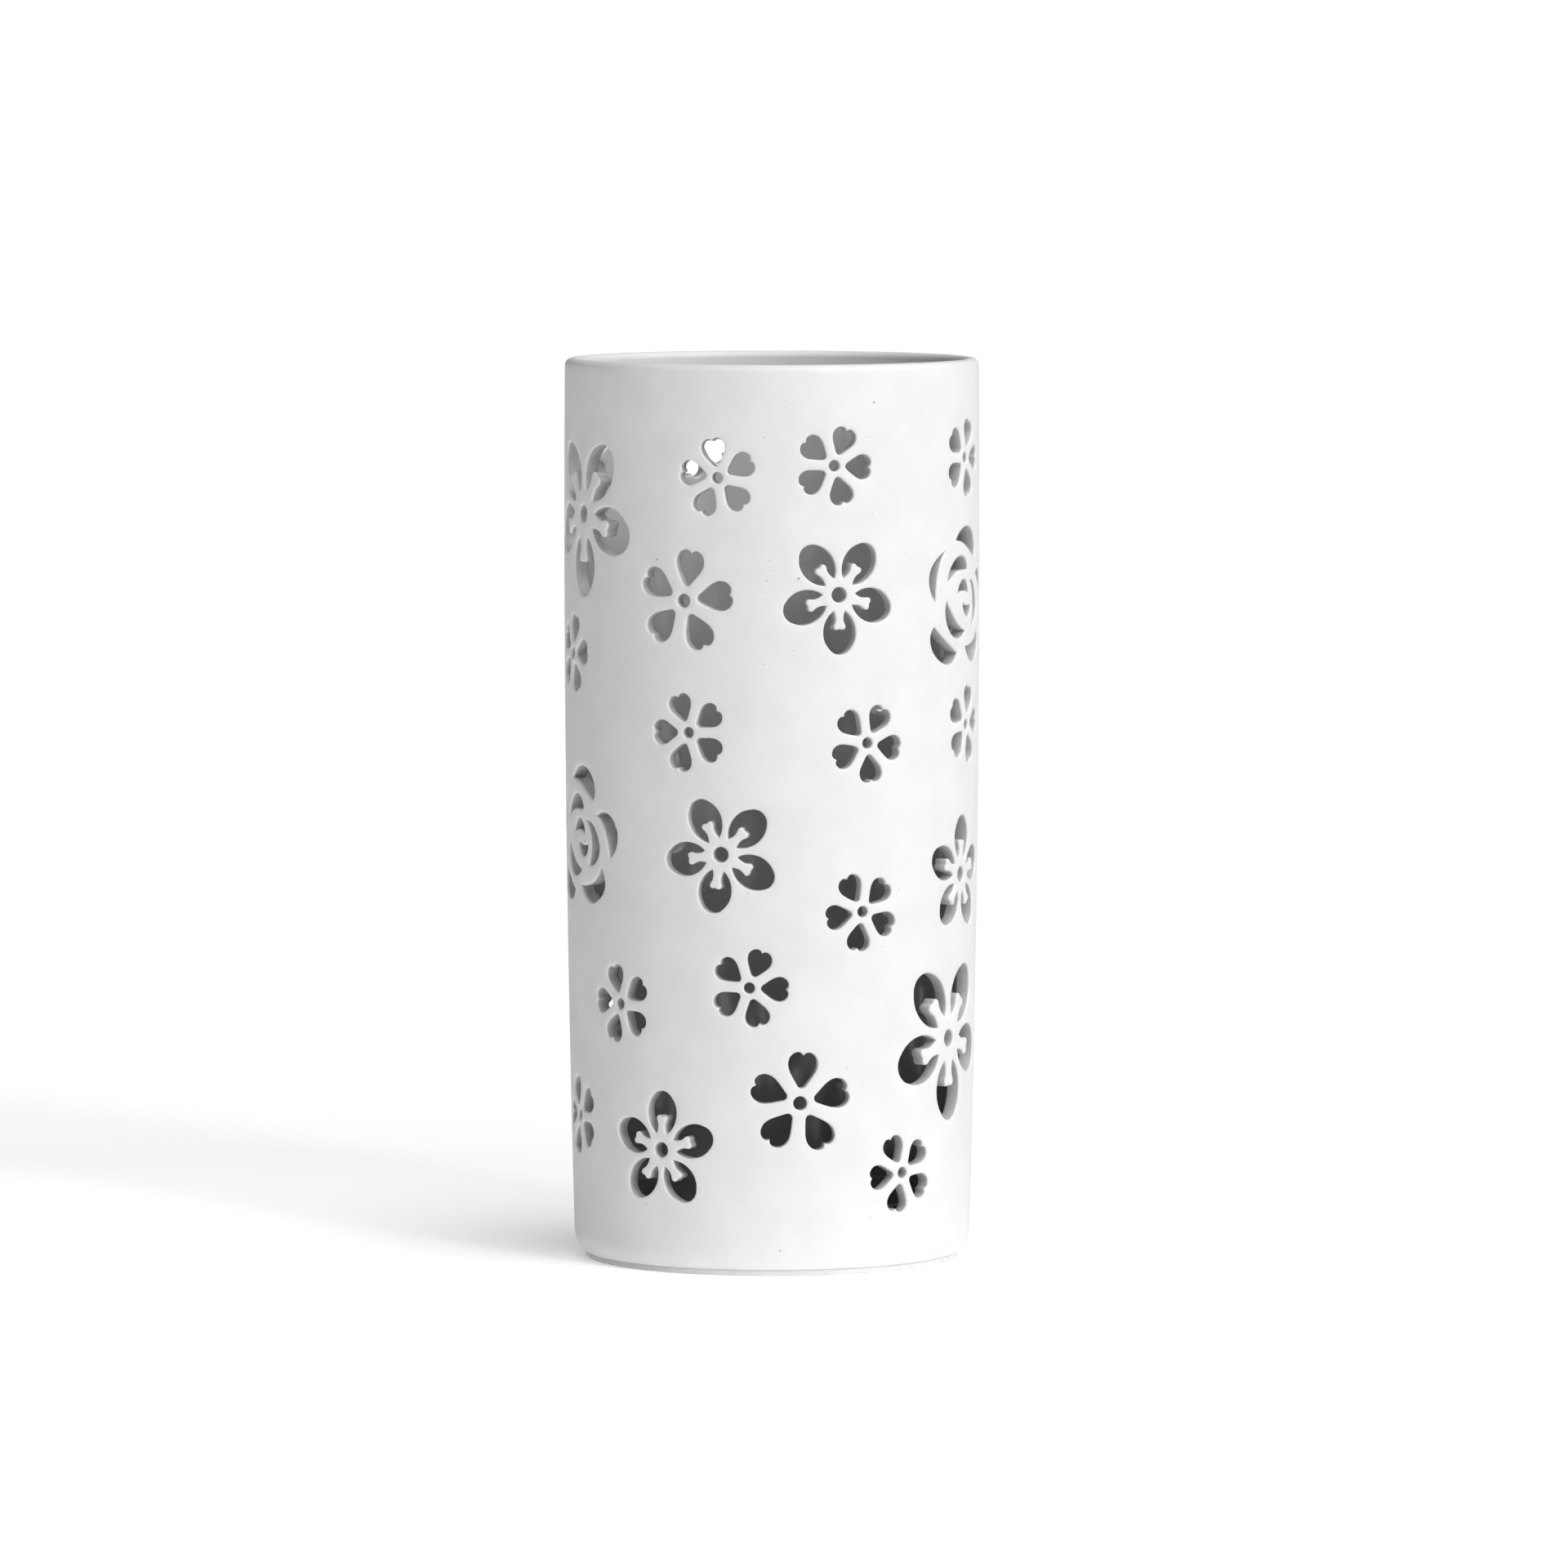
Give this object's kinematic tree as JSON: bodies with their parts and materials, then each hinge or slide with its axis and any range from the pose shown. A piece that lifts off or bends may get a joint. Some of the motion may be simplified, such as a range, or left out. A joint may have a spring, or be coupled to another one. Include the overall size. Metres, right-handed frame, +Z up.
{
  "type": "umbrella stand",
  "caption": "Tall round umbrella stand of white porcelain, pierced all over with flowers, on a thin pad, with a lift-out drip tray.",
  "frame": {"origin": "on the floor, at the middle of the underside, on the stand's axis", "axes": "+Z up along the stand's axis; the side of the picture faces -Y, and +X is to its right"},
  "size_m": [0.2074, 0.2074, 0.45],
  "materials": {
    "white_porcelain": "matt white porcelain, slightly smoother inside",
    "pale_pad": "pale translucent non-slip pad",
    "dark_plastic": "dark grey moulded plastic"
  },
  "bodies": {
    "stand": {"pierced_body": "white_porcelain", "base_pad": "pale_pad"},
    "tray": {"drip_tray": "dark_plastic"}
  },
  "joints": [
    {"name": "tray_lift", "type": "slide", "parent": "stand", "child": "tray", "axis": [0, 0, 1], "range_m": [0, 0.48]}
  ]
}
